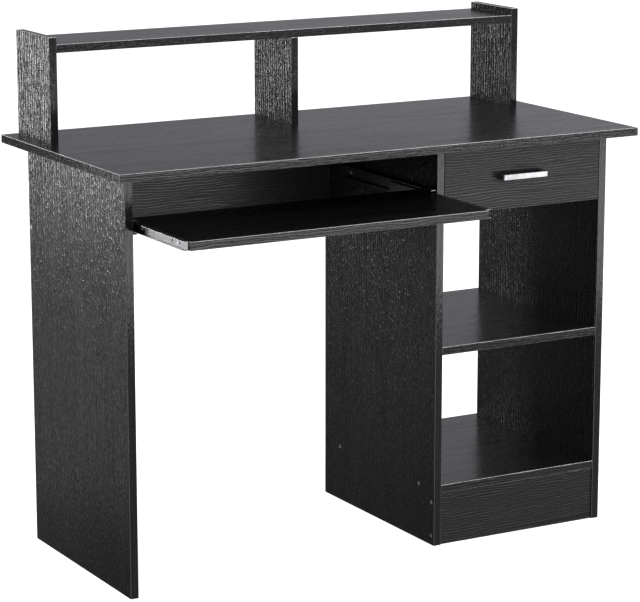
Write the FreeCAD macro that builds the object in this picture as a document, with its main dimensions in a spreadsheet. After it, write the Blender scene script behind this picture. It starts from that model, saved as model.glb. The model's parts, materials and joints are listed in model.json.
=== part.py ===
import FreeCAD, Part
import os
import Sketcher

# A computer desk: a desktop on three side panels, a pull-out keyboard tray on ball-bearing slides,
# a pedestal with a drawer and two open compartments, and a low hutch shelf along the back.
#
# Frame: +Z up, the user sits on the -Y side, +X is the user's right. The origin is on the floor, at the
# middle of the whole desk's box with the tray pulled out to its typing position and the drawer shut.
# Lengths are millimetres.

V = FreeCAD.Vector
doc = FreeCAD.newDocument("computer_desk")

# ---------------------------------------------------------------- driving dimensions
SIZES = [
    ("desk_width", 1050), ("desk_depth", 500), ("desk_height", 755), ("board", 15), ("thin_board", 12),
    ("hardboard", 3), ("ease", 0.8),
    # base: three side panels, rails, shelves
    ("side_inset", 33), ("front_overhang", 52), ("panel_depth", 405), ("middle_panel", 124),
    ("rail_height", 172), ("middle_shelf_top", 374), ("bottom_shelf_top", 114), ("shelf_setback", 1),
    ("kickboard_setback", 3),
    # hutch
    ("hutch_rise", 188), ("hutch_depth", 144), ("hutch_setback", 3), ("hutch_lip", 13),
    # keyboard tray
    ("tray_reach", 138), ("tray_depth", 242), ("tray_top", 660),
    # slides: cabinet member, drawer member, ball cage
    ("slide_gap", 12.7), ("slide_length", 330), ("slide_setback", 4), ("slide_sheet", 1.2),
    ("channel_height", 25), ("channel_flange", 9.6), ("channel_lip", 0.8),
    ("member_length", 326), ("member_height", 16), ("member_flange", 8.9), ("member_setback", 8),
    ("cage_length", 170), ("cage_sheet", 0.6), ("cage_arm", 0.8), ("cage_start", 2.8), ("cage_reach", 5.6),
    ("ball_track", 9.65), ("ball_offset", 6.2), ("ball_radius", 1.35), ("ball_pitch", 20),
    ("tray_cage_setback", 25), ("drawer_cage_setback", 120),
    # drawer
    ("drawer_front_height", 120), ("drawer_gap", 1.5), ("drawer_top_gap", 2), ("drawer_length", 330),
    ("drawer_side_height", 90), ("drawer_lift", 12), ("groove_lift", 8), ("groove_depth", 5),
    # handle: a flat bar with both ends turned back to the drawer front
    ("handle_length", 97), ("handle_height", 10.4), ("handle_stand", 20), ("handle_bar", 6),
    ("handle_leg", 8), ("handle_corner", 3), ("handle_left", 253), ("handle_drop", 55.5),
    # fasteners
    ("confirmat_head", 3.6), ("confirmat_length", 46), ("cam_radius", 7.5), ("cam_back", 24),
    ("cam_depth", 12), ("drawer_cam_depth", 10), ("dowel_radius", 4), ("dowel_length", 28),
    ("dowel_in_face", 9), ("pin_radius", 2.5), ("pin_rest_radius", 3.5), ("pin_in_panel", 9), ("pin_out", 8),
]
sheet = doc.addObject("Spreadsheet::Sheet", "Sizes")
for row, (alias, number) in enumerate(SIZES, 1):
    sheet.set(f"A{row}", alias)
    sheet.set(f"B{row}", str(number))
    sheet.setAlias(f"B{row}", alias)
doc.recompute()

# Planes that several pieces share, written as expressions of the sheet's cells.
BACK = "(Sizes.desk_depth + Sizes.tray_reach) / 2"
FRONT = f"({BACK} - Sizes.desk_depth)"
PANEL_FRONT = f"({FRONT} + Sizes.front_overhang)"
PANEL_BACK = f"({PANEL_FRONT} + Sizes.panel_depth)"
RAIL_MIDDLE = f"({PANEL_BACK} - Sizes.board / 2)"
TRAY_FRONT = f"(-{BACK})"
LEFT = "(Sizes.side_inset - Sizes.desk_width / 2)"
LEFT_INNER = f"({LEFT} + Sizes.board)"
RIGHT = "(Sizes.desk_width / 2 - Sizes.side_inset)"
RIGHT_INNER = f"({RIGHT} - Sizes.board)"
MIDDLE = "Sizes.middle_panel"
MIDDLE_RIGHT = "(Sizes.middle_panel + Sizes.board)"
UNDERSIDE = "(Sizes.desk_height - Sizes.board)"
TABLE = "Sizes.desk_height"
TRAY_LEFT = f"({LEFT_INNER} + Sizes.slide_gap)"
TRAY_WIDTH = f"({MIDDLE} - {LEFT_INNER} - 2 * Sizes.slide_gap)"
TRAY_CENTRE = "(Sizes.tray_top - Sizes.board / 2)"
BAY = f"({RIGHT_INNER} - {MIDDLE_RIGHT})"
HUTCH_BACK = f"({BACK} - Sizes.hutch_setback)"
HUTCH_FRONT = f"({HUTCH_BACK} - Sizes.hutch_depth)"
HUTCH_TOP = "(Sizes.desk_height + Sizes.hutch_rise)"
HUTCH_SHELF_TOP = f"({HUTCH_TOP} - Sizes.hutch_lip)"
HUTCH_SHELF_UNDER = f"({HUTCH_SHELF_TOP} - Sizes.board)"
DRAWER_FRONT_LOW = f"({UNDERSIDE} - Sizes.drawer_top_gap - Sizes.drawer_front_height)"
DRAWER_LOW = f"({DRAWER_FRONT_LOW} + Sizes.drawer_lift)"
DRAWER_CENTRE = f"({DRAWER_LOW} + Sizes.drawer_side_height / 2)"
DRAWER_START = f"({PANEL_FRONT} + Sizes.board)"
DRAWER_END = f"({DRAWER_START} + Sizes.drawer_length)"
DRAWER_LEFT = f"({MIDDLE_RIGHT} + Sizes.slide_gap)"
DRAWER_RIGHT = f"({RIGHT_INNER} - Sizes.slide_gap)"
DRAWER_FLOOR = f"({DRAWER_LOW} + Sizes.groove_lift)"

PLUS_X, MINUS_X = (1, 0, 0), (-1, 0, 0)
PLUS_Y = (0, 1, 0)
PLUS_Z, MINUS_Z = (0, 0, 1), (0, 0, -1)


def number(expression):
    """The value of an expression of the sheet's cells."""
    value = sheet.evalExpression(expression)
    return float(getattr(value, "Value", value))


def move_to(thing, spot):
    """Bind an object's position to three expressions."""
    for axis, expression in zip("xyz", spot):
        thing.setExpression(f"Placement.Base.{axis}", expression)


def origin_plane(body, role):
    return next(feature for feature in body.Origin.OriginFeatures if feature.Role == role)


# ---------------------------------------------------------------- sketches and features
def new_sketch(body, plane):
    sketch = body.newObject("Sketcher::SketchObject", f"{body.Name}_sketch")
    sketch.AttachmentSupport = (origin_plane(body, plane), [""])
    sketch.MapMode = "FlatFace"
    return sketch


def bind(sketch, kind, geometry, point, expression):
    """Hold a point's distance from the sketch's origin to an expression."""
    where = sketch.addConstraint(
        Sketcher.Constraint(kind, -1, 1, geometry, point, number(expression)))
    sketch.setExpression(f"Constraints[{where}]", expression)


def polygon(body, plane, corners):
    """A closed outline whose every corner is bound to a pair of expressions."""
    sketch = new_sketch(body, plane)
    points = [V(number(across), number(up), 0) for across, up in corners]
    for start, end in zip(points, points[1:] + points[:1]):
        sketch.addGeometry(Part.LineSegment(start, end))
    for side, (across, up) in enumerate(corners):
        side_before = (side - 1) % len(corners)
        sketch.addConstraint(Sketcher.Constraint("Coincident", side_before, 2, side, 1))
        bind(sketch, "DistanceX", side, 1, across)
        bind(sketch, "DistanceY", side, 1, up)
    return sketch


def discs(body, plane, centres):
    """Circles: each one an (across, up, radius) triple of expressions."""
    sketch = new_sketch(body, plane)
    for across, up, radius in centres:
        disc = sketch.addGeometry(Part.Circle(V(number(across), number(up), 0), V(0, 0, 1), number(radius)))
        bind(sketch, "DistanceX", disc, 3, across)
        bind(sketch, "DistanceY", disc, 3, up)
        width = sketch.addConstraint(Sketcher.Constraint("Radius", disc, number(radius)))
        sketch.setExpression(f"Constraints[{width}]", radius)
    return sketch


def pad(body, sketch, length, backwards=False):
    feature = body.newObject("PartDesign::Pad", f"{body.Name}_pad")
    feature.Profile = sketch
    feature.Reversed = backwards
    feature.setExpression("Length", length)
    doc.recompute()
    return feature


def pocket(body, sketch, depth, backwards=False, both_ways=False):
    """Cut a sketch into the body, and make sure that it did cut."""
    before = body.Shape.Volume
    feature = body.newObject("PartDesign::Pocket", f"{body.Name}_pocket")
    feature.Profile = sketch
    feature.Reversed = backwards
    feature.Midplane = both_ways
    feature.setExpression("Length", depth)
    doc.recompute()
    if body.Shape.Volume > before - 0.01:
        raise RuntimeError(f"{body.Label}: the pocket cuts nothing")
    return feature


def revolve(body, profile):
    """Turn a closed half-outline about the body's Z axis; corners are (radius, height) expressions."""
    sketch = polygon(body, "XZ_Plane", profile)
    feature = body.newObject("PartDesign::Revolution", f"{body.Name}_revolution")
    feature.Profile = sketch
    feature.ReferenceAxis = (sketch, ["V_Axis"])
    feature.Angle = 360
    doc.recompute()
    return feature


def ease_edges(body, feature, wanted, radius="Sizes.ease"):
    """Round the edges that a test picks out."""
    names = [f"Edge{i}" for i, edge in enumerate(feature.Shape.Edges, 1) if wanted(edge.BoundBox)]
    fillet = body.newObject("PartDesign::Fillet", f"{body.Name}_fillet")
    fillet.Base = (feature, names)
    fillet.setExpression("Radius", radius)
    doc.recompute()
    return fillet


def new_body(label):
    body = doc.addObject("PartDesign::Body", label)
    body.Label = label
    return body


# ---------------------------------------------------------------- boards
def board(label, corner, length, width, height, eased="front"):
    """A panel with its near left low corner at corner, its banded edges eased.

    eased is front (the front face's edges), top (those of the top and front faces) or all.
    """
    body = new_body(label)
    outline = polygon(body, "XY_Plane", [("0", "0"), (length, "0"), (length, width), ("0", width)])
    slab = pad(body, outline, height)
    top = number(height)
    tests = {
        "front": lambda box: box.YMax < 0.001,
        "top": lambda box: box.YMax < 0.001 or box.ZMin > top - 0.001,
        "all": lambda box: True,
    }
    ease_edges(body, slab, tests[eased])
    move_to(body, corner)
    return body


def upright_board(label, left, front, depth, low, high, eased="front"):
    """A panel that stands on its edge, one board thick across X."""
    return board(label, (left, front, low), "Sizes.board", depth, f"{high} - {low}", eased)


def rail(label, left, length):
    """A rail on edge under the desktop, flush with the panels' back."""
    corner = (left, f"{PANEL_BACK} - Sizes.board", f"{UNDERSIDE} - Sizes.rail_height")
    return board(label, corner, length, "Sizes.board", "Sizes.rail_height", "front")


boards = {}
boards["desktop"] = board(
    "desktop_board", ("-Sizes.desk_width / 2", FRONT, UNDERSIDE),
    "Sizes.desk_width", "Sizes.desk_depth", "Sizes.board", "all")
for name, left in (("left", LEFT), ("middle", MIDDLE), ("right", RIGHT_INNER)):
    boards[f"{name}_side_panel"] = upright_board(
        f"{name}_side_panel_board", left, PANEL_FRONT, "Sizes.panel_depth", "0", UNDERSIDE)
boards["back_rail"] = rail("back_rail_board", LEFT_INNER, f"{MIDDLE} - {LEFT_INNER}")
boards["pedestal_back_rail"] = rail("pedestal_back_rail_board", MIDDLE_RIGHT, BAY)
for name, top in (("middle_shelf", "Sizes.middle_shelf_top"), ("bottom_shelf", "Sizes.bottom_shelf_top")):
    boards[name] = board(
        f"{name}_board", (MIDDLE_RIGHT, f"{PANEL_FRONT} + Sizes.shelf_setback", f"{top} - Sizes.board"),
        BAY, "Sizes.panel_depth - Sizes.shelf_setback", "Sizes.board")
boards["kickboard"] = board(
    "kickboard_board", (MIDDLE_RIGHT, f"{PANEL_FRONT} + Sizes.kickboard_setback", "0"),
    BAY, "Sizes.board", "Sizes.bottom_shelf_top - Sizes.board")
HUTCH_UPRIGHTS = (
    ("left", LEFT, HUTCH_TOP), ("middle", "-Sizes.board / 2", HUTCH_SHELF_UNDER),
    ("right", RIGHT_INNER, HUTCH_TOP))
for name, left, top in HUTCH_UPRIGHTS:
    boards[f"hutch_upright_{name}"] = upright_board(
        f"hutch_upright_{name}_board", left, HUTCH_FRONT, "Sizes.hutch_depth", TABLE, top,
        "front" if name == "middle" else "top")
boards["hutch_shelf"] = board(
    "hutch_shelf_board", (LEFT_INNER, HUTCH_FRONT, HUTCH_SHELF_UNDER),
    f"{RIGHT_INNER} - {LEFT_INNER}", "Sizes.hutch_depth", "Sizes.board")
boards["keyboard_tray"] = board(
    "keyboard_tray_board", (TRAY_LEFT, TRAY_FRONT, "Sizes.tray_top - Sizes.board"),
    TRAY_WIDTH, "Sizes.tray_depth", "Sizes.board", "top")

# ---------------------------------------------------------------- the drawer's boards
boards["drawer_front"] = board(
    "drawer_front_board", (f"{MIDDLE_RIGHT} + Sizes.drawer_gap", PANEL_FRONT, DRAWER_FRONT_LOW),
    f"{BAY} - 2 * Sizes.drawer_gap", "Sizes.board", "Sizes.drawer_front_height", "all")
for name, left in (("left", DRAWER_LEFT), ("right", f"{DRAWER_RIGHT} - Sizes.thin_board")):
    boards[f"drawer_side_{name}"] = board(
        f"drawer_side_{name}_board", (left, DRAWER_START, DRAWER_LOW),
        "Sizes.thin_board", "Sizes.drawer_length", "Sizes.drawer_side_height", "top")
DRAWER_INSIDE = f"({DRAWER_RIGHT} - {DRAWER_LEFT} - 2 * Sizes.thin_board)"
boards["drawer_back"] = board(
    "drawer_back_board",
    (f"{DRAWER_LEFT} + Sizes.thin_board", f"{DRAWER_END} - Sizes.thin_board",
     f"{DRAWER_FLOOR} + Sizes.hardboard"),
    DRAWER_INSIDE, "Sizes.thin_board",
    "Sizes.drawer_side_height - Sizes.groove_lift - Sizes.hardboard", "top")

drawer_bottom = doc.addObject("Part::Box", "drawer_bottom")
drawer_bottom.setExpression("Length", f"{DRAWER_INSIDE} + 2 * Sizes.groove_depth")
drawer_bottom.setExpression("Width", "Sizes.drawer_length + Sizes.groove_depth")
drawer_bottom.setExpression("Height", "Sizes.hardboard")
move_to(drawer_bottom, (
    f"{DRAWER_LEFT} + Sizes.thin_board - Sizes.groove_depth", f"{DRAWER_START} - Sizes.groove_depth",
    DRAWER_FLOOR))

# ---------------------------------------------------------------- handle
handle = new_body("drawer_handle")
HANDLE_END, STAND = "Sizes.handle_length", "Sizes.handle_stand"
bar = pad(handle, polygon(handle, "XY_Plane", [
    ("0", "0"), (HANDLE_END, "0"), (HANDLE_END, STAND), (f"{HANDLE_END} - Sizes.handle_leg", STAND),
    (f"{HANDLE_END} - Sizes.handle_leg", "Sizes.handle_bar"), ("Sizes.handle_leg", "Sizes.handle_bar"),
    ("Sizes.handle_leg", STAND), ("0", STAND)]), "Sizes.handle_height")
handle_depth = number(STAND)
rounded_bar = ease_edges(
    handle, bar, lambda box: box.ZLength > 1 and box.YMax < handle_depth - 1, "Sizes.handle_corner")
ease_edges(handle, rounded_bar, lambda box: box.ZLength < 0.001 and box.YMin < handle_depth - 0.5, "0.7")
move_to(handle, (
    "Sizes.handle_left", f"{PANEL_FRONT} - {STAND}",
    f"{UNDERSIDE} - Sizes.handle_drop - Sizes.handle_height"))

# ---------------------------------------------------------------- one of each fastener
# Each one points along its own +Z; z = 0 is the surface that it goes into.


def hex_socket(body, radius, depth):
    """A six-sided key hole sunk from z = 0."""
    corners = [(f"{radius} * cos({60 * i})", f"{radius} * sin({60 * i})") for i in range(6)]
    pocket(body, polygon(body, "XY_Plane", corners), depth, backwards=True)


def cross_recess(body, half, arm, height, depth):
    """A cross-shaped driver recess sunk from z = height."""
    corners = []
    for across, up in ((1, 1), (-1, 1), (-1, -1), (1, -1)):
        pair = [(f"{across * half}", f"{up * arm}"), (f"{across * arm}", f"{up * arm}"),
                (f"{across * arm}", f"{up * half}")]
        corners += pair if across * up > 0 else pair[::-1]
    sketch = polygon(body, "XY_Plane", corners)
    sketch.AttachmentOffset = FreeCAD.Placement(V(0, 0, height), FreeCAD.Rotation())
    pocket(body, sketch, depth, backwards=True)


def confirmat_screw(recessed):
    """A countersunk board screw, 5 mm in the shank, with a hexagon socket."""
    body = new_body("confirmat_screw")
    head, end = "Sizes.confirmat_head", "Sizes.confirmat_length"
    revolve(body, [("0", "0"), (head, "0"), (head, "0.6"), ("2.5", "3"), ("2.5", f"{end} - 3"), ("0", end)])
    if recessed:
        hex_socket(body, "2.1", "2")
    return body


def small_screw(label, head_radius, head_height, shank, length):
    """A pan-head screw whose head stands out from the surface, below z = 0."""
    body = new_body(label)
    revolve(body, [
        ("0", f"-{head_height}"), (f"{head_radius} - 0.5", f"-{head_height}"),
        (head_radius, f"-{head_height} + 0.6"), (head_radius, "0"), (shank, "0"),
        (shank, f"{length} - 2"), ("0", length)])
    cross_recess(body, 1.7, 0.35, -number(head_height), "0.7")
    return body


def cam_bolt():
    """A bolt that is screwed 10 mm into one board and reaches back to the cam in the other."""
    body = new_body("cam_bolt")
    revolve(body, [
        ("0", "-10"), ("2.6", "-10"), ("3", "-9"), ("3", "0"), ("3.4", "0"), ("3.4", "3"), ("2.2", "3"),
        ("2.2", "Sizes.cam_back - 3"), ("3", "Sizes.cam_back - 1.5"), ("3", "Sizes.cam_back + 1"),
        ("0", "Sizes.cam_back + 2")])
    return body


def cam_lock(recessed, depth):
    """A round cam that sinks into a board's face, with a cross recess."""
    body = new_body("cam_lock")
    revolve(body, [
        ("0", "0"), ("Sizes.cam_radius - 0.4", "0"), ("Sizes.cam_radius", "0.4"),
        ("Sizes.cam_radius", depth), ("0", depth)])
    if recessed:
        cross_recess(body, 3.2, 0.8, 0, "1.5")
    return body


def box_screw(recessed):
    """A countersunk chipboard screw, flush with the drawer's side."""
    body = new_body("box_screw")
    revolve(body, [("0", "0"), ("3.2", "0"), ("3.2", "0.3"), ("1.6", "2.4"), ("1.6", "30"), ("0", "33")])
    if recessed:
        cross_recess(body, 1.6, 0.35, 0, "1.2")
    return body


def dowel():
    """A beech dowel with chamfered ends, z = 0 at the joint between the boards."""
    body = new_body("dowel")
    radius, low = "Sizes.dowel_radius", "-Sizes.dowel_in_face"
    high = "Sizes.dowel_length - Sizes.dowel_in_face"
    revolve(body, [
        ("0", low), (f"{radius} - 0.8", low), (radius, f"{low} + 0.8"), (radius, f"{high} - 0.8"),
        (f"{radius} - 0.8", high), ("0", high)])
    return body


def shelf_pin():
    """A stepped pin: its thin end sits in the panel, and the shelf lies on its thick end."""
    body = new_body("shelf_pin")
    thin, thick = "Sizes.pin_radius", "Sizes.pin_rest_radius"
    revolve(body, [
        ("0", "-Sizes.pin_out"), (f"{thick} - 0.6", "-Sizes.pin_out"), (thick, "-Sizes.pin_out + 0.6"),
        (thick, "0"), (thin, "0"), (thin, "Sizes.pin_in_panel"), ("0", "Sizes.pin_in_panel")])
    return body


# ---------------------------------------------------------------- placing copies
def pointing(direction):
    """The turn that points a fastener's own +Z along a direction."""
    return FreeCAD.Rotation(V(0, 0, 1), V(*direction))


def copies(label, master, places):
    """Identical pieces as links to one master, gathered in one compound: (spot, turn or direction) pairs."""
    links = []
    for count, (spot, direction) in enumerate(places, 1):
        link = doc.addObject("App::Link", f"{label}_{count}")
        link.LinkedObject = master
        turned = isinstance(direction, FreeCAD.Rotation)
        link.Placement = FreeCAD.Placement(V(), direction if turned else pointing(direction))
        move_to(link, spot)
        links.append(link)
    group = doc.addObject("Part::Compound", label)
    group.Links = links
    return group


def sunk_copies(label, make, places):
    """Copies of a sunk fastener, and the same without its key hole, which is what bores the boards."""
    return copies(label, make(True), places), copies(f"{label}_bore", make(False), places)


def cut(label, base, *tools):
    """The base with the shapes of the tools taken away: bores, grooves and sockets."""
    tool = tools[0]
    if len(tools) > 1:
        tool = doc.addObject("Part::Compound", f"{label}_bores")
        tool.Links = list(tools)
    piece = doc.addObject("Part::Cut", label)
    piece.Base = base
    piece.Tool = tool
    return piece


def beyond(spot, direction, distance):
    """The spot moved along a direction."""
    return tuple(f"{place} + ({step}) * ({distance})" for place, step in zip(spot, direction))


# Confirmat screws: back rails, bottom shelf and kickboard, all through the side panels.
RAIL_SCREWS = (f"{UNDERSIDE} - 22", f"{UNDERSIDE} - 150")
KICK_MIDDLE = f"{PANEL_FRONT} + Sizes.kickboard_setback + Sizes.board / 2"
SHELF_MIDDLE = "Sizes.bottom_shelf_top - Sizes.board / 2"
pedestal_spots = [
    (f"{PANEL_FRONT} + 55", SHELF_MIDDLE), (f"{PANEL_BACK} - 58", SHELF_MIDDLE),
    (KICK_MIDDLE, "17.5"), (KICK_MIDDLE, "81.5")]
screw_places = []
for height in RAIL_SCREWS:
    screw_places.append(((LEFT, RAIL_MIDDLE, height), PLUS_X))
    screw_places.append(((MIDDLE_RIGHT, RAIL_MIDDLE, height), MINUS_X))
    screw_places.append(((RIGHT, RAIL_MIDDLE, height), MINUS_X))
for along, height in pedestal_spots:
    screw_places.append(((MIDDLE, along, height), PLUS_X))
    screw_places.append(((RIGHT, along, height), MINUS_X))
confirmats, confirmat_bores = sunk_copies("confirmat_screws", confirmat_screw, screw_places)

# Cam joints: (point on the joint, direction into the cam's board, outward normal of the cam's face).
cam_joints = []
for middle, face in ((f"{LEFT} + Sizes.board / 2", PLUS_X), (f"{MIDDLE} + Sizes.board / 2", PLUS_X),
                     (f"{RIGHT} - Sizes.board / 2", MINUS_X)):
    for along in (f"{PANEL_FRONT} + 50", f"{PANEL_BACK} - 50"):
        cam_joints.append(((middle, along, UNDERSIDE), MINUS_Z, face))
HUTCH_BOLTS = (f"{HUTCH_FRONT} + 25", f"{HUTCH_BACK} - 25")
for middle in (f"{LEFT} + Sizes.board / 2", "0", f"{RIGHT} - Sizes.board / 2"):
    for along in HUTCH_BOLTS:
        cam_joints.append(((middle, along, TABLE), PLUS_Z, PLUS_X))
for along in HUTCH_BOLTS:
    shelf_middle = f"{HUTCH_SHELF_TOP} - Sizes.board / 2"
    cam_joints.append((("0", along, HUTCH_SHELF_UNDER), MINUS_Z, PLUS_X))
    cam_joints.append(((LEFT_INNER, along, shelf_middle), PLUS_X, MINUS_Z))
    cam_joints.append(((RIGHT_INNER, along, shelf_middle), MINUS_X, MINUS_Z))
drawer_cam_joints = []
for height in (f"{DRAWER_LOW} + 24", f"{DRAWER_LOW} + 72"):
    drawer_cam_joints.append(
        ((f"{DRAWER_LEFT} + Sizes.thin_board / 2", DRAWER_START, height), PLUS_Y, PLUS_X))
    drawer_cam_joints.append(
        ((f"{DRAWER_RIGHT} - Sizes.thin_board / 2", DRAWER_START, height), PLUS_Y, MINUS_X))


def cam_set(prefix, joints, half_board, depth, bolt):
    """The bolts and cams of a list of cam joints, and the cams' bores; each cam is hollow around its bolt."""
    bolts = copies(f"{prefix}cam_bolts", bolt, [(spot, pull) for spot, pull, _ in joints])
    places = []
    for spot, pull, face in joints:
        centre = beyond(beyond(spot, pull, "Sizes.cam_back"), face, half_board)
        places.append((centre, tuple(-step for step in face)))
    solid_cams, bores = sunk_copies(f"{prefix}cam_discs", lambda recessed: cam_lock(recessed, depth), places)
    return bolts, bores, cut(f"{prefix}cam_locks", solid_cams, bolts)


bolt_master = cam_bolt()
cam_bolts, cam_bores, cam_locks = cam_set("", cam_joints, "Sizes.board / 2", "Sizes.cam_depth", bolt_master)
drawer_cam_bolts, drawer_cam_bores, drawer_cam_locks = cam_set(
    "drawer_", drawer_cam_joints, "Sizes.thin_board / 2", "Sizes.drawer_cam_depth", bolt_master)

# Dowels: one between each pair of screws or bolts, and two that hold the pedestal rail's left end.
dowel_places = []
PANEL_MIDDLE = f"({PANEL_FRONT} + {PANEL_BACK}) / 2"
HUTCH_MIDDLE = f"({HUTCH_FRONT} + {HUTCH_BACK}) / 2"
for middle in (f"{LEFT} + Sizes.board / 2", f"{MIDDLE} + Sizes.board / 2", f"{RIGHT} - Sizes.board / 2"):
    dowel_places.append(((middle, PANEL_MIDDLE, UNDERSIDE), MINUS_Z))
for middle in (f"{LEFT} + Sizes.board / 2", "0", f"{RIGHT} - Sizes.board / 2"):
    dowel_places.append(((middle, HUTCH_MIDDLE, TABLE), PLUS_Z))
dowel_places.append(((LEFT_INNER, HUTCH_MIDDLE, f"{HUTCH_SHELF_TOP} - Sizes.board / 2"), PLUS_X))
dowel_places.append(((RIGHT_INNER, HUTCH_MIDDLE, f"{HUTCH_SHELF_TOP} - Sizes.board / 2"), MINUS_X))
for height in (f"{UNDERSIDE} - 54", f"{UNDERSIDE} - 118"):
    dowel_places.append(((MIDDLE_RIGHT, RAIL_MIDDLE, height), PLUS_X))
dowels = copies("dowels", dowel(), dowel_places)

# Shelf pins under the middle shelf.
pin_height = "Sizes.middle_shelf_top - Sizes.board - Sizes.pin_rest_radius"
pin_places = []
for along in (f"{PANEL_FRONT} + 60", f"{PANEL_BACK} - 60"):
    pin_places.append(((MIDDLE_RIGHT, along, pin_height), MINUS_X))
    pin_places.append(((RIGHT_INNER, along, pin_height), PLUS_X))
shelf_pins = copies("shelf_pins", shelf_pin(), pin_places)

# ---------------------------------------------------------------- ball-bearing slides
# One slide's own frame: x from the cabinet panel towards the moving board, y back along the slide
# from its front end, z up from the slide's middle. A slide on the right is turned half round Y.
CABINET_HOLES = ("35", "165", "300")
CABINET_SLOTS = ("60", "195", "268")
MEMBER_HOLES = ("34", "171", "222")
MEMBER_SPARE = ("57", "183")


def channel(label, length, web, flange, half, sheet_metal, lip):
    """A C-shaped rail along Y: web is where its web starts, flange is where its flanges end."""
    body = new_body(label)
    step = 1 if number(flange) > number(web) else -1
    inner = f"{web} + {step} * {sheet_metal}"
    top = f"{half} - {sheet_metal}"
    lip_start = f"{flange} - {step} * {sheet_metal}"
    outline = [(web, half), (flange, half), (flange, f"{top} - {lip}"), (lip_start, f"{top} - {lip}"),
               (lip_start, top), (inner, top)]
    if lip == "0":
        outline = [(web, half), (flange, half), (flange, top), (inner, top)]
    outline += [(across, f"-({up})") for across, up in reversed(outline)]
    strip = pad(body, polygon(body, "XZ_Plane", outline), length, backwards=True)
    edge = number(half) - 0.001
    ease_edges(body, strip, lambda box: box.YLength > 10 and (box.ZMin > edge or box.ZMax < -edge))
    return body


def web_holes(body, spots, radius):
    """Round holes through the web, given as distances from the front end."""
    sketch = discs(body, "YZ_Plane", [(along, "0", radius) for along in spots])
    pocket(body, sketch, "2 * Sizes.slide_gap + 2", both_ways=True)


def web_slots(body, spots, half_length, radius):
    """Square-ended slots through the web, long side along the slide."""
    for along in spots:
        corners = [(f"{along} - {half_length}", f"-{radius}"), (f"{along} + {half_length}", f"-{radius}"),
                   (f"{along} + {half_length}", radius), (f"{along} - {half_length}", radius)]
        pocket(body, polygon(body, "YZ_Plane", corners), "2 * Sizes.slide_gap + 2", both_ways=True)


def cabinet_channel():
    body = channel("cabinet_channel", "Sizes.slide_length", "0", "Sizes.channel_flange",
                   "Sizes.channel_height / 2", "Sizes.slide_sheet", "Sizes.channel_lip")
    web_holes(body, CABINET_HOLES, "1.55")
    web_slots(body, CABINET_SLOTS, "4", "2.3")
    return body


def member_channel():
    flange = "Sizes.slide_gap - Sizes.member_flange"
    body = channel("member_channel", "Sizes.member_length", "Sizes.slide_gap", flange,
                   "Sizes.member_height / 2", "Sizes.slide_sheet", "0")
    web_holes(body, MEMBER_HOLES, "1.55")
    web_holes(body, MEMBER_SPARE, "2.3")
    web_slots(body, ("205",), "5", "1.8")
    return body


def ball_rows(count):
    """Distances of the balls from the cage's front end."""
    return [f"(Sizes.cage_length - {count - 1} * Sizes.ball_pitch) / 2 + {i} * Sizes.ball_pitch"
            for i in range(count)]


BALLS = ball_rows(8)


def ball_cage():
    """A C-shaped strip between the two channels whose arms hold a row of balls each."""
    half = "Sizes.ball_track + Sizes.cage_arm / 2"
    start, end = "Sizes.cage_start", "Sizes.cage_start + Sizes.cage_reach"
    body = new_body("ball_cage")
    low = f"{half} - Sizes.cage_arm"
    outline = [(start, half), (end, half), (end, low), (f"{start} + Sizes.cage_sheet", low)]
    outline += [(across, f"-({up})") for across, up in reversed(outline)]
    pad(body, polygon(body, "XZ_Plane", outline), "Sizes.cage_length", backwards=True)
    seats = [("Sizes.ball_offset", along, "Sizes.ball_radius + 0.15") for along in BALLS]
    pocket(body, discs(body, "XY_Plane", seats), "Sizes.channel_height", both_ways=True)
    return body


def slide_ball():
    body = doc.addObject("Part::Sphere", "slide_ball")
    body.setExpression("Radius", "Sizes.ball_radius")
    return body


AS_MADE, TURNED = FreeCAD.Rotation(), FreeCAD.Rotation(V(0, 1, 0), 180)
cabinet_master, member_master, cage_master = cabinet_channel(), member_channel(), ball_cage()
ball_master = slide_ball()
slide_screw_master = small_screw("slide_screw", "3", "1.35", "1.5", "10")
screws_in_panels = []
nodes = {}


def slide_pair(prefix, left_face, right_face, height, front, member_front, cage_front):
    """Both slides of one moving board. Returns the places of the screws into that board."""
    into_board = []
    balls = []
    for side, face, turn, way in (("left", left_face, AS_MADE, 1), ("right", right_face, TURNED, -1)):
        parts = (("cabinet", cabinet_master, front), ("member", member_master, member_front),
                 ("cage", cage_master, cage_front))
        for part, master, start in parts:
            label = f"{prefix}_slide_{part}_{side}"
            nodes[label] = copies(label, master, [((face, start, height), turn)])
        inwards = (way, 0, 0)
        for along in CABINET_HOLES:
            web = beyond((face, f"{front} + {along}", height), inwards, "Sizes.slide_sheet")
            screws_in_panels.append((web, (-way, 0, 0)))
        for along in MEMBER_HOLES:
            web = beyond((face, f"{member_front} + {along}", height), inwards,
                         "Sizes.slide_gap - Sizes.slide_sheet")
            into_board.append((web, inwards))
        for along in BALLS:
            for level in (1, -1):
                spot = (f"{face} + {way} * Sizes.ball_offset", f"{cage_front} + {along}",
                        f"{height} + {level} * Sizes.ball_track")
                balls.append((spot, PLUS_Z))
    nodes[f"{prefix}_slide_balls"] = copies(f"{prefix}_slide_balls", ball_master, balls)
    return into_board


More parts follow.
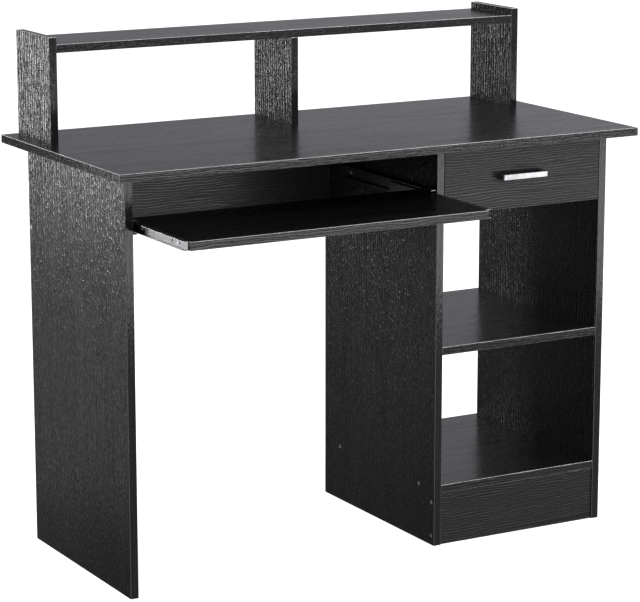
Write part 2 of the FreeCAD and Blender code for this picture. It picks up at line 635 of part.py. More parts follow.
slide_front = f"{PANEL_FRONT} + Sizes.slide_setback"
tray_screw_places = slide_pair(
    "tray", LEFT_INNER, MIDDLE, TRAY_CENTRE, slide_front, f"{TRAY_FRONT} + Sizes.member_setback",
    f"{slide_front} + Sizes.tray_cage_setback")
drawer_slide_front = f"{DRAWER_START} + 2"
drawer_screw_places = slide_pair(
    "drawer", MIDDLE_RIGHT, RIGHT_INNER, DRAWER_CENTRE, drawer_slide_front, drawer_slide_front,
    f"{drawer_slide_front} + Sizes.drawer_cage_setback")
panel_slide_screws = copies("slide_screws_panels", slide_screw_master, screws_in_panels)
tray_slide_screws = copies("slide_screws_tray", slide_screw_master, tray_screw_places)
drawer_slide_screws = copies("slide_screws_drawer", slide_screw_master, drawer_screw_places)

# The drawer's own screws: sides into the back, and the handle's through the front.
box_screw_places = []
for height in (f"{DRAWER_LOW} + 20", f"{DRAWER_LOW} + 75"):
    back_middle = f"{DRAWER_END} - Sizes.thin_board / 2"
    box_screw_places.append(((DRAWER_LEFT, back_middle, height), PLUS_X))
    box_screw_places.append(((DRAWER_RIGHT, back_middle, height), MINUS_X))
box_screws, box_screw_bores = sunk_copies("drawer_box_screws", box_screw, box_screw_places)
handle_middle = f"{UNDERSIDE} - Sizes.handle_drop - Sizes.handle_height / 2"
handle_places = []
for across in ("Sizes.handle_leg / 2", "Sizes.handle_length - Sizes.handle_leg / 2"):
    handle_places.append(((f"Sizes.handle_left + {across}", DRAWER_START, handle_middle), (0, -1, 0)))
handle_screws = copies("handle_screws", small_screw("handle_screw", "4", "2.4", "1.9", "26"), handle_places)

# ---------------------------------------------------------------- the finished pieces
FITTINGS = {
    "desktop": (cam_bolts, dowels),
    "left_side_panel": (confirmat_bores, cam_bolts, cam_bores, dowels, panel_slide_screws),
    "middle_side_panel": (confirmat_bores, cam_bolts, cam_bores, dowels, panel_slide_screws, shelf_pins),
    "right_side_panel": (confirmat_bores, cam_bolts, cam_bores, panel_slide_screws, shelf_pins, dowels),
    "back_rail": (confirmat_bores,),
    "pedestal_back_rail": (confirmat_bores, dowels),
    "bottom_shelf": (confirmat_bores,),
    "kickboard": (confirmat_bores,),
    "hutch_upright_left": (cam_bolts, cam_bores, dowels),
    "hutch_upright_middle": (cam_bolts, cam_bores, dowels),
    "hutch_upright_right": (cam_bolts, cam_bores, dowels),
    "hutch_shelf": (cam_bolts, cam_bores, dowels),
    "keyboard_tray": (tray_slide_screws,),
    "drawer_front": (drawer_cam_bolts, handle_screws, drawer_bottom),
    "drawer_side_left": (drawer_cam_bolts, drawer_cam_bores, drawer_slide_screws, box_screw_bores,
                         drawer_bottom),
    "drawer_side_right": (drawer_cam_bolts, drawer_cam_bores, drawer_slide_screws, box_screw_bores,
                          drawer_bottom),
    "drawer_back": (box_screw_bores,),
}
for label, blank in boards.items():
    if label in FITTINGS:
        nodes[label] = cut(label, blank, *FITTINGS[label])
    else:
        blank.Label = label
        nodes[label] = blank
nodes["drawer_handle"] = cut("drawer_handle_drilled", handle, handle_screws)
fastener_groups = [
    confirmats, cam_bolts, cam_locks, dowels, shelf_pins, panel_slide_screws, tray_slide_screws,
    drawer_slide_screws, drawer_cam_bolts, drawer_cam_locks, box_screws, handle_screws]
for piece in [*fastener_groups, drawer_bottom]:
    nodes[piece.Name] = piece

doc.recompute()
for thing in doc.Objects:
    if "Invalid" in thing.State or "Error" in thing.State:
        raise RuntimeError(f"{thing.Label}: {thing.State}")
for label, piece in nodes.items():
    if piece.Shape.isNull() or not piece.Shape.isValid():
        raise RuntimeError(f"{label}: its shape isn't sound")

os.makedirs("parts", exist_ok=True)
for label, piece in nodes.items():
    piece.Shape.exportStep(f"parts/{label}.step")
    print(f"{label:28s} {len(piece.Shape.Solids):3d} solids {piece.Shape.Volume / 1000:10.2f} cm3")
print(len(nodes), "nodes")
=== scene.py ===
# %% [markdown]
# # A computer desk with a pull-out keyboard tray
# The desk was designed in CAD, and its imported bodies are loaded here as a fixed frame: nothing below moves
# or resizes them. This script adds what CAD leaves out: the finish of every surface, the small parts that
# are easier to grow by rule than to draw, a plain studio and a camera.

# %% Load the frame
import json
import math
import bmesh
import bpy
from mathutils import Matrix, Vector


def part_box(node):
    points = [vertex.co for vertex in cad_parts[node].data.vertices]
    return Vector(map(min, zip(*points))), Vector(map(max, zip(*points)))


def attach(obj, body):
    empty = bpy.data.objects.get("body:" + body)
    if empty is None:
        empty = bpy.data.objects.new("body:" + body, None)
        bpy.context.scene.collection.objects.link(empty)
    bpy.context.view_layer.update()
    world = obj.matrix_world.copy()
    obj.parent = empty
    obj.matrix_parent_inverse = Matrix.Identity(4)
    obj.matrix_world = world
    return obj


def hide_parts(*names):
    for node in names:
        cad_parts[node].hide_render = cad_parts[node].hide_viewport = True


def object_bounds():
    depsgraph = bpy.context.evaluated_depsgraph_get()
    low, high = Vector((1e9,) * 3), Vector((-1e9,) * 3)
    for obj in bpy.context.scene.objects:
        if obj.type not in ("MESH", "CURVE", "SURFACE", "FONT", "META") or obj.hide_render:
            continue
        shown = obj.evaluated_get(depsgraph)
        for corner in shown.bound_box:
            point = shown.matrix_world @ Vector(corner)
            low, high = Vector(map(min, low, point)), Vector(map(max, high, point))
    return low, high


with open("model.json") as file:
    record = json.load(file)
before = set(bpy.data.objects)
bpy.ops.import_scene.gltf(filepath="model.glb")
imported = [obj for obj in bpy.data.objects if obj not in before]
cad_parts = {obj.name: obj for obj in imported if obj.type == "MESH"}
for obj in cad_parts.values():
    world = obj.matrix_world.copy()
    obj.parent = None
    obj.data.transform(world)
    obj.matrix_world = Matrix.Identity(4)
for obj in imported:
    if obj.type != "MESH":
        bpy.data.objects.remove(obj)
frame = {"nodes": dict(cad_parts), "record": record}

cad_low, cad_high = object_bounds()
record = frame["record"]
print("CAD box in metres:", [round(side, 3) for side in cad_high - cad_low])

# %% [markdown]
# ## Graphs written as sums
# Finishes, the room's light and the small repeated parts are all graphs of nodes. Wiring them by hand hides
# what they work out, so two small classes let a graph be written as arithmetic. A Wire is one output of a
# node, and its operators add Math nodes. A Graph makes any other node from its type, its settings and what
# goes into its sockets.


# %% Wires and graphs
class Wire:
    """One output of a node; arithmetic on wires adds Math nodes."""

    def __init__(self, graph, socket):
        self.graph = graph
        self.socket = socket

    def output(self, name):
        """Another output of the same node."""
        return Wire(self.graph, self.socket.node.outputs[name])

    def __add__(self, other):
        return self.graph.math("ADD", self, other)

    def __sub__(self, other):
        return self.graph.math("SUBTRACT", self, other)

    def __rsub__(self, other):
        return self.graph.math("SUBTRACT", other, self)

    def __mul__(self, other):
        return self.graph.math("MULTIPLY", self, other)

    def __abs__(self):
        return self.graph.math("ABSOLUTE", self)

    __radd__ = __add__
    __rmul__ = __mul__

    def sine(self):
        return self.graph.math("SINE", self)

    def step(self, low, high):
        """0 below low, 1 above high, and a smooth rise between them."""
        settings = {"interpolation_type": "SMOOTHSTEP", "clamp": True}
        inputs = {0: self, 1: low, 2: high, 3: 0.0, 4: 1.0}
        return self.graph.node("ShaderNodeMapRange", settings, inputs)


class Graph:
    """A tree of nodes that is made by calls."""

    def __init__(self, tree):
        self.tree = tree

    def node(self, kind, settings, inputs, output=0):
        made = self.tree.nodes.new(kind)
        for name, value in settings.items():
            setattr(made, name, value)
        for name, value in inputs.items():
            self.feed(made.inputs[name], value)
        return Wire(self, made.outputs[output])

    def feed(self, socket, value):
        if isinstance(value, Wire):
            self.tree.links.new(value.socket, socket)
        else:
            socket.default_value = value

    def math(self, operation, *values):
        return self.node("ShaderNodeMath", {"operation": operation}, dict(enumerate(values)))


# %% [markdown]
# A Finish is the graph of one material. It adds the few things that nearly every finish needs: a place on
# the object, noise, a blend of two colours and a bump.


# %% Finishes
class Finish(Graph):
    """A material and its nodes."""

    def __init__(self, name):
        self.material = bpy.data.materials.new(name)
        self.material.use_nodes = True
        super().__init__(self.material.node_tree)
        self.shader = self.tree.nodes["Principled BSDF"]

    def surface(self, **values):
        """Feed the shader; a name's underscores stand for spaces."""
        for name, value in values.items():
            self.feed(self.shader.inputs[name.replace("_", " ")], value)

    def place(self, scale=(1.0, 1.0, 1.0)):
        """The object's own coordinates, scaled."""
        inputs = {"Vector": self.node("ShaderNodeTexCoord", {}, {}, "Object"), "Scale": scale}
        return self.node("ShaderNodeMapping", {"vector_type": "POINT"}, inputs)

    def noise(self, vector, scale=1.0, detail=2.0, roughness=0.5):
        inputs = {"Vector": vector, "Scale": scale, "Detail": detail, "Roughness": roughness}
        return self.node("ShaderNodeTexNoise", {"noise_dimensions": "3D"}, inputs, "Fac")

    def dot(self, vector, weights):
        """The sum of a vector's parts, each times its weight."""
        inputs = {0: vector, 1: weights}
        return self.node("ShaderNodeVectorMath", {"operation": "DOT_PRODUCT"}, inputs, "Value")

    def blend(self, amount, first, second):
        """A colour between two colours."""
        settings = {"data_type": "RGBA", "clamp_factor": True}
        inputs = {0: amount, 6: first, 7: second}
        return self.node("ShaderNodeMix", settings, inputs, 2)

    def bump(self, height, metres):
        return self.node("ShaderNodeBump", {}, {"Height": height, "Strength": 1.0, "Distance": metres})


def grey(value):
    return (value, value, value, 1.0)


# %% [markdown]
# ## The floor
# The desk stands on seamless white paper. A wide plane is enough: the camera looks slightly down, so the
# paper fills the whole view. The paper also glows by itself here, at nearly full white, so that it burns
# out as it does under studio lamps, and it is kept out of mirrors, which leaves black boards black.

# %% Floor
FLOOR_HALF = 30.0
FLOOR_GAP = 0.0005
PAPER_GLOW = 0.9
TOOTH_HEIGHT = 0.00002


def paper_floor():
    mesh = bpy.data.meshes.new("studio_floor")
    corners = [(x * FLOOR_HALF, y * FLOOR_HALF, 0) for x, y in ((-1, -1), (1, -1), (1, 1), (-1, 1))]
    mesh.from_pydata(corners, [], [(0, 1, 2, 3)])
    floor = bpy.data.objects.new("studio_floor", mesh)
    bpy.context.collection.objects.link(floor)
    floor.location.z = cad_low.z - FLOOR_GAP
    floor.visible_glossy = False
    paper = Finish("studio_paper")
    tooth = paper.noise(paper.place(), scale=40.0, detail=3.0)
    paper.surface(
        Base_Color=paper.blend(tooth, grey(0.86), grey(0.90)),
        Roughness=0.9,
        Normal=paper.bump(tooth, TOOTH_HEIGHT),
        Emission_Color=grey(1.0),
        Emission_Strength=PAPER_GLOW)
    mesh.materials.append(paper.material)
    return floor


paper_floor()
print("floor", 2 * FLOOR_HALF, "m wide")

# %% [markdown]
# ## The camera
# It stands to the left of the seated user, higher than the hutch, and far away, so that the boards' edges
# stay nearly parallel. The long lens then brings the desk back to the size of the picture.

# %% Camera
CAMERA_AT = Vector((-2.3596, -4.0990, 1.4931))
TURNED_RIGHT = math.radians(29.466)
TILTED_DOWN = math.radians(12.426)
LENS_MM = 149.37
SENSOR_MM = 36.0

camera_data = bpy.data.cameras.new("studio_camera")
camera_data.lens = LENS_MM
camera_data.sensor_width = SENSOR_MM
camera_data.clip_end = 3 * FLOOR_HALF
camera = bpy.data.objects.new("studio_camera", camera_data)
camera.location = CAMERA_AT
camera.rotation_euler = (math.pi / 2 - TILTED_DOWN, 0, -TURNED_RIGHT)
bpy.context.collection.objects.link(camera)
bpy.context.scene.camera = camera
print("camera", round((CAMERA_AT - (cad_low + cad_high) / 2).length, 2), "m from the desk")

# %% [markdown]
# ## The lamps
# Black boards have little colour of their own. What shows their shape is what they mirror, so each lamp is a
# softbox that is placed for one set of faces: one behind on the left, which grazes the upright boards and
# brings out their grain, a low and a high one for the fronts, and one overhead, which lights the painted
# highlight along every upper edge. A dim card, low behind on the left, lifts the foot of the left panel.


# %% Lamps
def softbox(name, place, aim, width, height, watts):
    """A flat lamp at one place that faces another; the camera doesn't see it."""
    lamp = bpy.data.lights.new(name, "AREA")
    lamp.shape = "RECTANGLE"
    lamp.size, lamp.size_y, lamp.energy = width, height, watts
    holder = bpy.data.objects.new(name, lamp)
    holder.location = place
    holder.rotation_euler = (Vector(aim) - Vector(place)).to_track_quat("-Z", "Y").to_euler()
    holder.visible_camera = False
    bpy.context.collection.objects.link(holder)


softbox("lamp_back_left", (-1.60, 1.06, 0.76), (-0.45, 0.10, 0.70), 0.60, 0.60, 24.0)
softbox("card_back_left", (-1.40, 1.35, 0.06), (-0.49, 0.10, 0.30), 1.00, 0.80, 1.4)
softbox("lamp_front_low", (0.85, -1.80, 0.28), (0.10, 0.00, 0.60), 2.20, 0.44, 7.6)
softbox("lamp_front_high", (1.30, -2.40, 2.10), (0.15, -0.10, 0.60), 1.40, 0.80, 4.0)
softbox("lamp_above", (1.25, -0.75, 3.00), (0.00, 0.00, 0.60), 0.90, 0.90, 32.0)
print(len(bpy.data.lights), "softboxes")

# %% [markdown]
# ## The room
# Past the lamps, what the boards mirror is the room: a wall behind, a slightly brighter wall in front and a
# darker floor, all of them brighter towards the right. The room depends on direction alone, so it is worked
# out from the direction of a ray. The camera itself sees plain white.

# %% Room
WALL_BEHIND, WALL_FRONT = 0.37, 0.45
FLOOR_BEHIND, FLOOR_FRONT = 0.09, 0.36
LEFT_SHARE, RIGHT_EXTRA = 0.90, 0.35
BURNT_OUT = 1.1
ROOM_TINT = (0.99, 0.97, 1.05, 1.0)


def light_room():
    world = bpy.data.worlds.new("studio_room")
    bpy.context.scene.world = world
    world.use_nodes = True
    graph = Graph(world.node_tree)
    direction = graph.node("ShaderNodeTexCoord", {}, {}, "Generated")
    right = graph.node("ShaderNodeSeparateXYZ", {}, {0: direction})
    behind = right.output(1).step(-0.5, 0.3)
    above = right.output(2).step(-0.12, 0.12)
    wall = behind * (WALL_BEHIND - WALL_FRONT) + WALL_FRONT
    low = behind * (FLOOR_BEHIND - FLOOR_FRONT) + FLOOR_FRONT
    glow = (above * (wall - low) + low) * (right.step(0.34, 0.62) * RIGHT_EXTRA + LEFT_SHARE)
    seen = graph.node("ShaderNodeLightPath", {}, {}, "Is Camera Ray")
    background = graph.tree.nodes["Background"].inputs
    graph.feed(background["Strength"], glow + seen * (BURNT_OUT - glow))
    graph.feed(background["Color"], ROOM_TINT)


light_room()
bpy.context.scene.view_settings.view_transform = "Standard"
print("walls", WALL_BEHIND, "behind and", WALL_FRONT, "in front")

# %% [markdown]
# ## Black woodgrain board
# The boards are particle board under a black melamine film, pressed against an embossed plate while hot. So
# the grain is relief rather than print: shallow ripples a few millimetres apart that run with the board,
# broken by short pores and a few long flaws, under a half-gloss skin. A sine of the distance across the
# grain makes the ripples, and noise stretched along the grain makes them wander. That distance is measured
# along both cross axes at once, which carries the ripples round every long edge. On a board's ends it turns
# them diagonal, where real banding runs lengthwise. A lit board has a bright line along its eased edges,
# where the surface faces along no axis. Here that line is painted, palest where it faces up, because the
# edge is too narrow to catch enough light. So, unlike a real highlight, it stays pale in any light.

# %% Board finish
X, Y, Z = 0, 1, 2
AXES = (X, Y, Z)
MM = 0.001
BLACK, STREAK = grey(0.001), grey(0.007)
EASED, EASED_TOP = grey(0.10), grey(0.85)
WANDER_RADIANS = 16.0
WANDER_STRETCH, PORE_STRETCH = 4.0, 3.2
CLOUDY = 0.12


def woodgrain(name, along, thin, ripple, wander, relief, edge_relief, pore, pore_share, skin, matt):
    """Black melamine on a board that is thin along one axis, with its grain along another.

    Ripple, wander and pore are lengths across the grain in mm, and relief is a depth in mm. Edge_relief is
    the share of it on the narrow faces. Skin is the roughness, and matt how much the ripples take from it.
    """
    finish = Finish(name)

    def stretched(across, lengthwise):
        return finish.place(tuple(1.0 / (MM * (lengthwise if axis == along else across)) for axis in AXES))

    distance = finish.dot(finish.place(), tuple(float(axis != along) for axis in AXES))
    drift = finish.noise(stretched(wander, wander * WANDER_STRETCH), roughness=0.55)
    wave = (distance * (2.0 * math.pi / (ripple * MM)) + drift * WANDER_RADIANS).sine() * 0.5 + 0.5
    pores = finish.noise(stretched(pore, pore * PORE_STRETCH), detail=1.0, roughness=0.6).step(0.40, 0.60)
    flaws = finish.noise(stretched(8.0, 1500.0), detail=1.0).step(0.66, 0.70)
    patches = finish.noise(stretched(30.0, 160.0))
    height = (wave.step(0.05, 0.7) * (1.0 - pore_share) + pores * pore_share) * (1.0 - flaws)

    normal = finish.node("ShaderNodeTexCoord", {}, {}, "Normal")
    broad = abs(finish.dot(normal, tuple(float(axis == thin) for axis in AXES))).step(0.55, 0.9)
    faces = finish.node("ShaderNodeSeparateXYZ", {}, {0: normal})
    squarest = finish.math("MAXIMUM", abs(faces), abs(faces.output(1)))
    squarest = finish.math("MAXIMUM", squarest, abs(faces.output(2)))
    eased = 1.0 - squarest.step(0.93, 0.99)
    upward = finish.dot(normal, (0.0, 0.0, 1.0)).step(0.1, 0.5)

    film = finish.blend(height * (patches * 0.8 + 0.4), BLACK, STREAK)
    finish.surface(
        Base_Color=finish.blend(eased, film, finish.blend(upward, EASED, EASED_TOP)),
        Roughness=skin + patches * CLOUDY + broad * CLOUDY - height * matt,
        Specular_IOR_Level=0.5,
        Normal=finish.bump(height * (broad * (1.0 - edge_relief) + edge_relief), relief * MM))
    return finish.material


level_board = woodgrain(
    "black_woodgrain_level", along=X, thin=Z, ripple=5.5, wander=24.0, relief=0.12, edge_relief=2.8,
    pore=3.0, pore_share=0.20, skin=0.11, matt=0.12)
facing_board = woodgrain(
    "black_woodgrain_facing", along=X, thin=Y, ripple=4.8, wander=24.0, relief=0.30, edge_relief=0.4,
    pore=2.6, pore_share=0.10, skin=0.20, matt=0.12)
upright_board = woodgrain(
    "black_woodgrain_upright", along=Z, thin=X, ripple=7.8, wander=40.0, relief=0.85, edge_relief=0.2,
    pore=3.6, pore_share=0.45, skin=0.16, matt=0.12)
box_board = woodgrain(
    "drawer_box_black", along=Y, thin=X, ripple=7.0, wander=24.0, relief=0.06, edge_relief=0.4,
    pore=3.8, pore_share=0.20, skin=0.34, matt=0.12)
print("board finishes:", level_board.name, facing_board.name, upright_board.name, box_board.name)

# %% [markdown]
# ## Metals
# The slides are rolled from zinc-plated strip, the handle is brushed lengthwise, the screws are nickel
# plated, the cams are cast and the balls are polished. All of them are mirrors with a grain, so each one is
# the same recipe: full metallic, a roughness that wanders, and fine lines along the way it was worked.


# %% Metal finish
COOL = (1.0, 1.01, 1.03)
LINE_STRETCH = 60.0
LINE_DEPTH = 0.00001
DULLED = 0.7


def metal(name, along, shine, roughness, line, lines, clouds):
    """Bare or plated metal with fine lines along one axis, line mm wide, and a cloudy plating."""
    finish = Finish(name)
    scale = tuple(1.0 / (MM * line * (LINE_STRETCH if axis == along else 1.0)) for axis in AXES)
    streak = finish.noise(finish.place(scale), roughness=0.6)
    cloud = finish.noise(finish.place(), scale=90.0, detail=3.0, roughness=0.55)
    bright = tuple(shine * part for part in COOL) + (1.0,)
    dull = tuple(DULLED * shine * part for part in COOL) + (1.0,)
    finish.surface(
        Base_Color=finish.blend(cloud.step(0.35, 0.7) * clouds, bright, dull),
        Metallic=1.0,
        Roughness=roughness + (streak - 0.5) * lines + (cloud - 0.5) * CLOUDY,
        Normal=finish.bump(streak, LINE_DEPTH))
    return finish.material


zinc = metal("zinc_plated_strip", Y, shine=0.25, roughness=0.30, line=0.5, lines=0.14, clouds=0.8)
satin = metal("satin_handle", X, shine=0.46, roughness=0.26, line=0.3, lines=0.16, clouds=0.5)
nickel = metal("nickel_screw", Z, shine=0.74, roughness=0.28, line=0.4, lines=0.15, clouds=0.3)
cast = metal("cast_cam", Z, shine=0.42, roughness=0.48, line=1.2, lines=0.10, clouds=0.8)
polished = metal("polished_balls", Z, shine=0.85, roughness=0.10, line=0.3, lines=0.04, clouds=0.1)
print("metals:", zinc.name, satin.name, nickel.name, cast.name, polished.name)


# %% [markdown]
# ## Wood fibre
# The dowels are raw beech, whose cut fibres and short darker rays look like fine flecks at this size. The
# drawer's floor is thin hardboard, painted black on its good side, which leaves a faint felt texture.

# %% Beech and hardboard
PALE_BEECH, DARK_BEECH = (0.66, 0.47, 0.29, 1.0), (0.44, 0.28, 0.15, 1.0)
FIBRE_DEPTH, FELT_DEPTH = 0.00006, 0.00004


def raw_beech():
    finish = Finish("raw_beech")
    fibre = finish.noise(finish.place((900.0, 900.0, 900.0)), detail=3.0, roughness=0.6)
    rays = finish.noise(finish.place((300.0, 300.0, 300.0)), detail=1.0).step(0.60, 0.68)
    finish.surface(
        Base_Color=finish.blend(fibre * 0.7 + rays * 0.3, PALE_BEECH, DARK_BEECH),
        Roughness=0.6 + fibre * 0.15,
        Normal=finish.bump(fibre, FIBRE_DEPTH))
    return finish.material


def painted_hardboard():
    finish = Finish("painted_hardboard")
    felt = finish.noise(finish.place(), scale=900.0, detail=4.0, roughness=0.7)
    finish.surface(
        Base_Color=finish.blend(felt, grey(0.004), grey(0.014)),
        Roughness=0.5 + felt * 0.25,
        Normal=finish.bump(felt, FELT_DEPTH))
    return finish.material


beech, hardboard = raw_beech(), painted_hardboard()
print("fibre finishes:", beech.name, hardboard.name)

# %% [markdown]
# ## Dressing the frame
# Every CAD node that stays visible gets its finish here. The record says which material slot a node has, and
# one table turns a slot into a finish. A board with level grain can lie flat or stand on edge, and the
# shape of its box says which.

# %% Finish for every node
FINISHES = {
    "board_horizontal_grain": level_board, "board_vertical_grain": upright_board,
    "drawer_box_board": box_board, "hardboard": hardboard, "satin_handle_metal": satin,
    "zinc_plated_steel": zinc, "bearing_steel": polished, "screw_steel": nickel, "cast_zinc": cast,
    "beech": beech}
for part in record["subparts"]:
    low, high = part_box(part["node"])
    stands = part["material_slot"] == "board_horizontal_grain" and high.y - low.y < high.z - low.z
    surface = frame["nodes"][part["node"]].data
    surface.materials.clear()
    surface.materials.append(facing_board if stands else FINISHES[part["material_slot"]])
print(len(record["subparts"]), "nodes dressed")

# %% [markdown]
# ## Growing what repeats
# Bearing balls, dowels and screw threads are each one small shape set down many times. Geometry Nodes suits
# that: the tree takes a cloud of points, each with a direction, and sets the shape down on every point. The
# points come from the frame. A node of fasteners is a group of loose solids, so a walk over its edges finds
# each one, and the solid's own corners give its centre, its axis and its widest end.


# %% Find the solids in a node
SAME_POINT = 1e-6


def solids(node):
    """The corners of each separate solid in a node."""
    mesh = bmesh.new()
    mesh.from_mesh(frame["nodes"][node].data)
    bmesh.ops.remove_doubles(mesh, verts=mesh.verts, dist=SAME_POINT)
    waiting = dict.fromkeys(mesh.verts)
    found = []
    while waiting:
        group = [waiting.popitem()[0]]
        for corner in group:
            for edge in corner.link_edges:
                other = edge.other_vert(corner)
                if other in waiting:
                    del waiting[other]
                    group.append(other)
        found.append([corner.co.copy() for corner in group])
    mesh.free()
    return found


def centre_and_half(corners):
    low = Vector([min(corner[axis] for corner in corners) for axis in AXES])
    high = Vector([max(corner[axis] for corner in corners) for axis in AXES])
    return (low + high) / 2, (high - low) / 2


def shank(corners):
    """A long solid's thin end, the direction from there towards its widest part, and its length."""
    centre, half = centre_and_half(corners)
    axis = max(AXES, key=lambda side: half[side])
    aim = Vector([float(side == axis) for side in AXES])
    widest = max(corners, key=lambda corner: (corner - centre).cross(aim).length)
    if (widest - centre).dot(aim) < 0:
        aim = -aim
    return centre - aim * half[axis], aim, 2 * half[axis]


for node in ("tray_slide_balls", "dowels", "confirmat_screws"):
    print(node, "holds", len(solids(node)), "solids")


# %% [markdown]
# A Grower is the graph of one Geometry Nodes tree. Its sizes are named inputs. It ends by setting the shape
# down on every point, turning instances into real mesh and giving it its finish, and its grow method bakes
# the result into a plain mesh, because the exported model keeps no modifiers of this kind.


# %% Growers
class Grower(Graph):
    """A Geometry Nodes tree that sets one shape down on every point; whole sizes are counts."""

    def __init__(self, name, **sizes):
        super().__init__(bpy.data.node_groups.new(name, "GeometryNodeTree"))
        self.sizes = sizes
        for way in ("INPUT", "OUTPUT"):
            self.tree.interface.new_socket("Geometry", in_out=way, socket_type="NodeSocketGeometry")
        for size, value in sizes.items():
            kind = "NodeSocketInt" if isinstance(value, int) else "NodeSocketFloat"
            self.tree.interface.new_socket(size, in_out="INPUT", socket_type=kind)
        self.points = self.node("NodeGroupInput", {}, {})

    def size(self, name):
        return self.points.output(name)

    def ends_fade(self, least, start, end):
        """1 along a swept line and least at both its ends; the line runs from 0 to 1."""
        along = self.node("GeometryNodeSplineParameter", {}, {})
        return least + (1.0 - least) * along.step(0.0, start) * (1.0 - along.step(end, 1.0))

    def set_down(self, shape, material, smooth):
        self.material = material
        vector = {"data_type": "FLOAT_VECTOR"}
        aim = self.node("GeometryNodeInputNamedAttribute", vector, {"Name": "aim"})
        turn = self.node("FunctionNodeAlignRotationToVector", {"axis": "Z"}, {"Vector": aim})
        shaded = self.node("GeometryNodeSetShadeSmooth", {}, {"Geometry": shape, "Shade Smooth": smooth})
        inputs = {"Points": self.points, "Instance": shaded, "Rotation": turn}
        copies = self.node("GeometryNodeInstanceOnPoints", {}, inputs)
        real = self.node("GeometryNodeRealizeInstances", {}, {0: copies})
        done = self.node("GeometryNodeSetMaterial", {}, {"Geometry": real, "Material": material})
        self.tree.links.new(done.socket, self.tree.nodes.new("NodeGroupOutput").inputs[0])

    def grow(self, name, places):
        """A plain mesh with the shape at every (point, aim)."""
        seeds = bpy.data.meshes.new(name + "_seeds")
        seeds.from_pydata([point for point, aim in places], [], [])
        aims = seeds.attributes.new("aim", "FLOAT_VECTOR", "POINT")
        for seed, (point, aim) in zip(aims.data, places):
            seed.vector = aim
        piece = bpy.data.objects.new(name, seeds)
        bpy.context.collection.objects.link(piece)
        modifier = piece.modifiers.new("grow", "NODES")
        modifier.node_group = self.tree
        for item in self.tree.interface.items_tree:
            if item.in_out == "INPUT" and item.name in self.sizes:
                modifier[item.identifier] = self.sizes[item.name]
        graph = bpy.context.evaluated_depsgraph_get()
        grown = bpy.data.meshes.new_from_object(piece.evaluated_get(graph), depsgraph=graph)
        piece.modifiers.clear()
        piece.data = grown
        grown.materials.clear()
        grown.materials.append(self.material)
        return piece


def body_of(node):
    return next(name for name, members in record["behaviour"]["bodies"].items() if node in members)


# %% [markdown]
# ## Bearing balls
# Each slide runs on two rows of steel balls that its cage keeps apart. A ball is the one shape here that has
# to look perfectly round, so smooth spheres stand in for the faceted CAD solids, at the same centres and of
# the same size.


# %% Balls
UP = Vector((0, 0, 1))


def ball_grower(radius):
    grower = Grower("bearing_ball", Radius=radius, Segments=16, Rings=10)
    inputs = {name: grower.size(name) for name in ("Radius", "Segments", "Rings")}
    grower.set_down(grower.node("GeometryNodeMeshUVSphere", {}, inputs), polished, True)
    return grower


for node in ("tray_slide_balls", "drawer_slide_balls"):
    places = [centre_and_half(corners) for corners in solids(node)]
    radius = places[0][1].z
    balls = ball_grower(radius).grow(node + "_round", [(centre, UP) for centre, half in places])
    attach(balls, body_of(node))
    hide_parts(node)
    print(balls.name, len(places), "balls,", len(balls.data.polygons), "faces")

# %% [markdown]
# ## Fluted dowels
# A glued dowel has grooves along it, so that trapped air and spare glue can escape, and tapered ends that
# find their holes. A star-shaped section swept along a straight line gives both: the star's inner points are
# the grooves, and the sweep shrinks at its ends.

# %% Dowels
FLUTE_DEPTH = 0.00025
DOWEL_STOPS = 15
DOWEL_TAPER = 0.82


def dowel_grower(radius, length):
    grower = Grower("fluted_dowel", Radius=radius, Flute=FLUTE_DEPTH, Length=length, Flutes=18)
    inner = grower.size("Radius") - grower.size("Flute")
    star = {"Points": grower.size("Flutes"), "Inner Radius": inner, "Outer Radius": grower.size("Radius")}
    section = grower.node("GeometryNodeCurveStar", {}, star)
    end = grower.node("ShaderNodeCombineXYZ", {}, {"Z": grower.size("Length")})
    line = grower.node("GeometryNodeCurvePrimitiveLine", {"mode": "POINTS"}, {"End": end})
    stops = {"Curve": line, "Count": DOWEL_STOPS}
    line = grower.node("GeometryNodeResampleCurve", {"mode": "COUNT"}, stops)
    taper = grower.ends_fade(DOWEL_TAPER, 0.06, 0.94)
    sweep = {"Curve": line, "Profile Curve": section, "Scale": taper, "Fill Caps": True}
    grower.set_down(grower.node("GeometryNodeCurveToMesh", {}, sweep), beech, False)
    return grower


dowel_solids = solids("dowels")
dowel_radius = min(centre_and_half(dowel_solids[0])[1])
places = [shank(corners) for corners in dowel_solids]
dowel_length = places[0][2]
dowels = dowel_grower(dowel_radius, dowel_length).grow("fluted_dowels", [place[:2] for place in places])
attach(dowels, body_of("dowels"))
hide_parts("dowels")
print(dowels.name, len(places), "dowels,", len(dowels.data.polygons), "faces")

# %% [markdown]
# ## Screw threads
# The CAD screws have their heads, recesses and smooth shanks. The thread is one ridge wound round the shank:
# a small diamond section swept along a helix and thinned at both ends, where the thread runs out. Blender's
# spiral turns the way of a left-handed thread, so it is reversed. The ridge starts just short of the
# screw's tip, at the shank's full width, so its first part stands clear of the tip's cone. Cam bolts are
# placed from their other end, because their thread is beside the flange, at the end that is driven into a
# board.

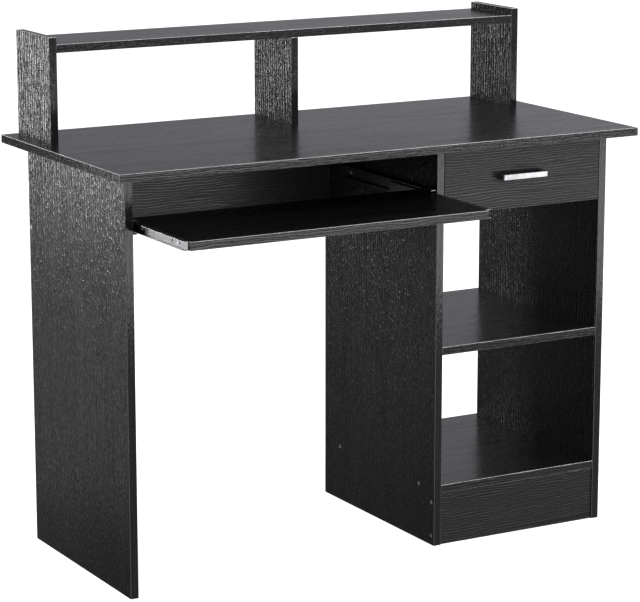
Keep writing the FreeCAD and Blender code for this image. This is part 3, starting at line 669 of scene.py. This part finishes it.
# %% Threads
THREADS = {  # node: shank radius, ridge, pitch, start and length of the thread, all in mm
    "confirmat_screws": (2.5, 0.9, 3.2, 2.0, 30.0),
    "slide_screws_panels": (1.5, 0.4, 1.4, 1.2, 8.4),
    "slide_screws_tray": (1.5, 0.4, 1.4, 1.2, 8.4),
    "slide_screws_drawer": (1.5, 0.4, 1.4, 1.2, 8.4),
    "drawer_box_screws": (1.6, 0.5, 1.8, 2.0, 20.0),
    "handle_screws": (1.9, 0.15, 0.8, 1.0, 22.0),
    "cam_bolts": (2.9, 0.4, 1.6, 1.2, 7.8),
    "drawer_cam_bolts": (2.9, 0.4, 1.6, 1.2, 7.8)}
RUN_OUT = 0.1
STOPS_A_TURN = 16


def thread_grower(radius, ridge, pitch, length):
    grower = Grower("screw_thread", Radius=radius, Ridge=ridge, Length=length, Turns=length / pitch)
    helix = {"Resolution": STOPS_A_TURN, "Rotations": grower.size("Turns"), "Reverse": True,
             "Start Radius": grower.size("Radius"), "End Radius": grower.size("Radius"),
             "Height": grower.size("Length")}
    wound = grower.node("GeometryNodeCurveSpiral", {}, helix)
    wound = grower.node("GeometryNodeSetCurveNormal", {"mode": "Z_UP"}, {"Curve": wound})
    diamond = {"Resolution": 4, "Radius": grower.size("Ridge")}
    section = grower.node("GeometryNodeCurvePrimitiveCircle", {"mode": "RADIUS"}, diamond)
    fade = grower.ends_fade(RUN_OUT, 0.12, 0.94)
    sweep = {"Curve": wound, "Profile Curve": section, "Scale": fade, "Fill Caps": True}
    grower.set_down(grower.node("GeometryNodeCurveToMesh", {}, sweep), nickel, False)
    return grower


for node, (radius, ridge, pitch, start, length) in THREADS.items():
    grower = thread_grower(radius * MM, ridge * MM, pitch * MM, length * MM)
    places = []
    for end, aim, whole in (shank(corners) for corners in solids(node)):
        if "cam" in node:
            end, aim = end + aim * whole, -aim
        places.append((end + aim * start * MM, aim))
    thread = grower.grow(node + "_thread", places)
    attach(thread, body_of(node))
    print(thread.name, len(places), "threads,", len(thread.data.polygons), "faces")
